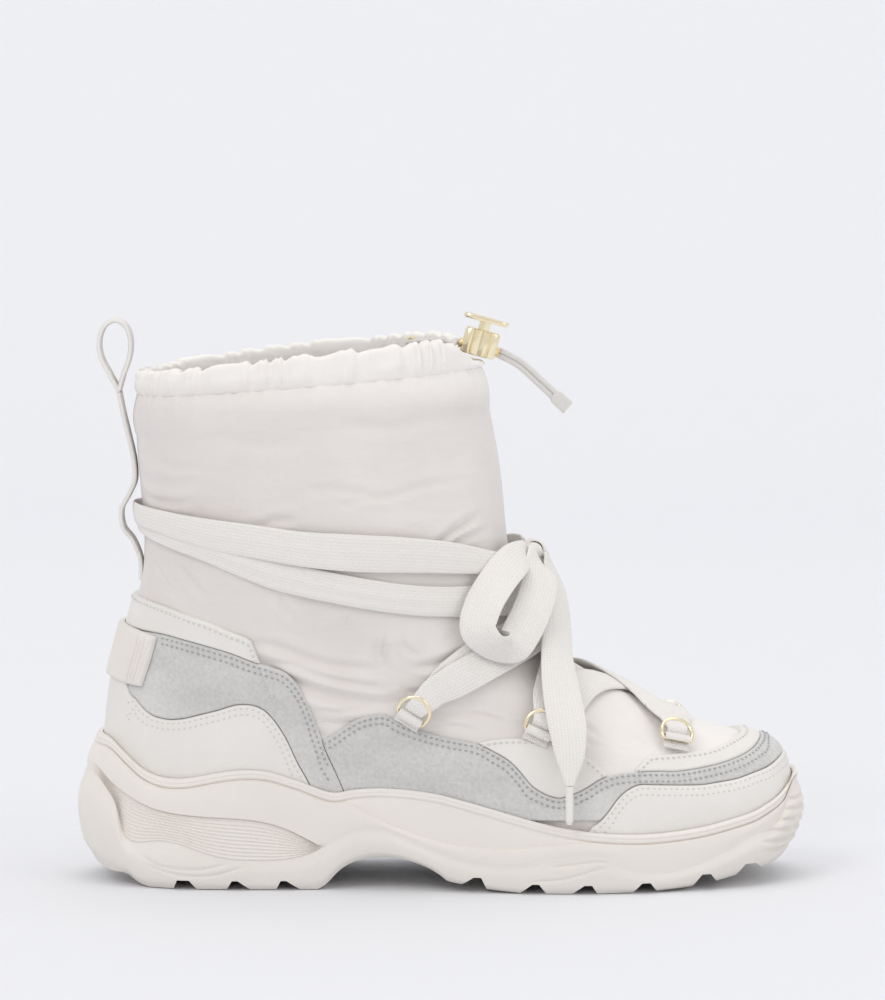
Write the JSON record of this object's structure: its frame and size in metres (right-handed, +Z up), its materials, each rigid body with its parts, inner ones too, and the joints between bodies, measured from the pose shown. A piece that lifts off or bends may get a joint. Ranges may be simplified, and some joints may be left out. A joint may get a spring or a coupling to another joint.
{
  "type": "apres ski boot",
  "caption": "Ankle-high padded winter boot for the right foot with a lugged sole, laces through rings that wind round the ankle, and a drawcord collar.",
  "frame": {"origin": "Centre of the boot's bounding box in plan, on the floor under the sole.", "axes": "+X points to the toe along the boot's length. +Y points to the inner side of the foot. +Z points up."},
  "size_m": [0.2859, 0.1154, 0.222],
  "materials": {
    "nylon": "soft matt padded nylon",
    "leather": "smooth off-white leather with a soft sheen",
    "suede": "pale grey brushed suede",
    "rubber": "satin moulded rubber",
    "foam": "satin moulded foam",
    "lining": "matt fabric-topped foam",
    "lace": "matt herringbone woven ribbon",
    "webbing": "matt woven webbing",
    "cord": "matt woven cord",
    "gold": "polished pale gold plating",
    "plastic": "glossy off-white plastic"
  },
  "bodies": {
    "boot": {"aglet_inner": "plastic", "aglet_outer": "plastic", "ankle_wraps": "lace", "bow_knot": "lace", "bow_loop_inner": "lace", "bow_loop_outer": "lace", "collar_cuff": "nylon", "collar_guard": "leather", "d_ring_back_inner": "gold", "d_ring_back_outer": "gold", "d_ring_front_inner": "gold", "d_ring_front_outer": "gold", "d_ring_middle_inner": "gold", "d_ring_middle_outer": "gold", "drawcord_end": "cord", "drawcord_inner": "cord", "drawcord_outer": "cord", "drawcord_tail": "cord", "eyelet_inner": "gold", "eyelet_outer": "gold", "facing_inner": "leather", "facing_outer": "leather", "forefoot_band": "suede", "heel_counter": "leather", "heel_strap": "rubber", "insole": "lining", "lace_crossings": "lace", "lace_end_inner": "lace", "lace_end_outer": "lace", "lock_body": "gold", "midsole": "foam", "outsole": "rubber", "pull_loop": "webbing", "quarter_inner": "suede", "quarter_outer": "suede", "ring_tab_back_inner": "webbing", "ring_tab_back_outer": "webbing", "ring_tab_front_inner": "webbing", "ring_tab_front_outer": "webbing", "ring_tab_middle_inner": "webbing", "ring_tab_middle_outer": "webbing", "toe_facing": "leather", "toe_guard": "leather", "upper": "nylon"},
    "button": {"lock_button": "gold"}
  },
  "joints": [
    {"name": "lock_press", "type": "slide", "parent": "boot", "child": "button", "axis": [0.2599, 0, 0.9656], "range_m": [-0.002, 0], "stiffness_N_per_m": 400}
  ]
}
